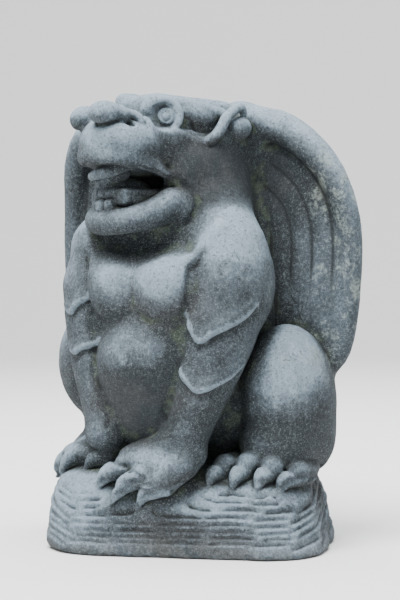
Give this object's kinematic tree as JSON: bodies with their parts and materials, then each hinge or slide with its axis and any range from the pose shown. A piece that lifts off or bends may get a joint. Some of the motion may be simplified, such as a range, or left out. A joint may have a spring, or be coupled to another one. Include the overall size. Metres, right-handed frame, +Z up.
{
  "type": "stone gargoyle statue",
  "caption": "Carved stone gargoyle sitting on a rough block, head turned aside, mouth open, wings folded up behind; stands on its flat underside.",
  "frame": {"origin": "centre of the box's underside, on the ground under the block", "axes": "+Z up; -Y is the way the creature's chest faces; +X is the creature's own left"},
  "size_m": [0.3852, 0.2744, 0.4973],
  "materials": {
    "stone": "weathered, matt, finely pitted"
  },
  "bodies": {
    "root": {"gargoyle": "stone"}
  },
  "joints": []
}
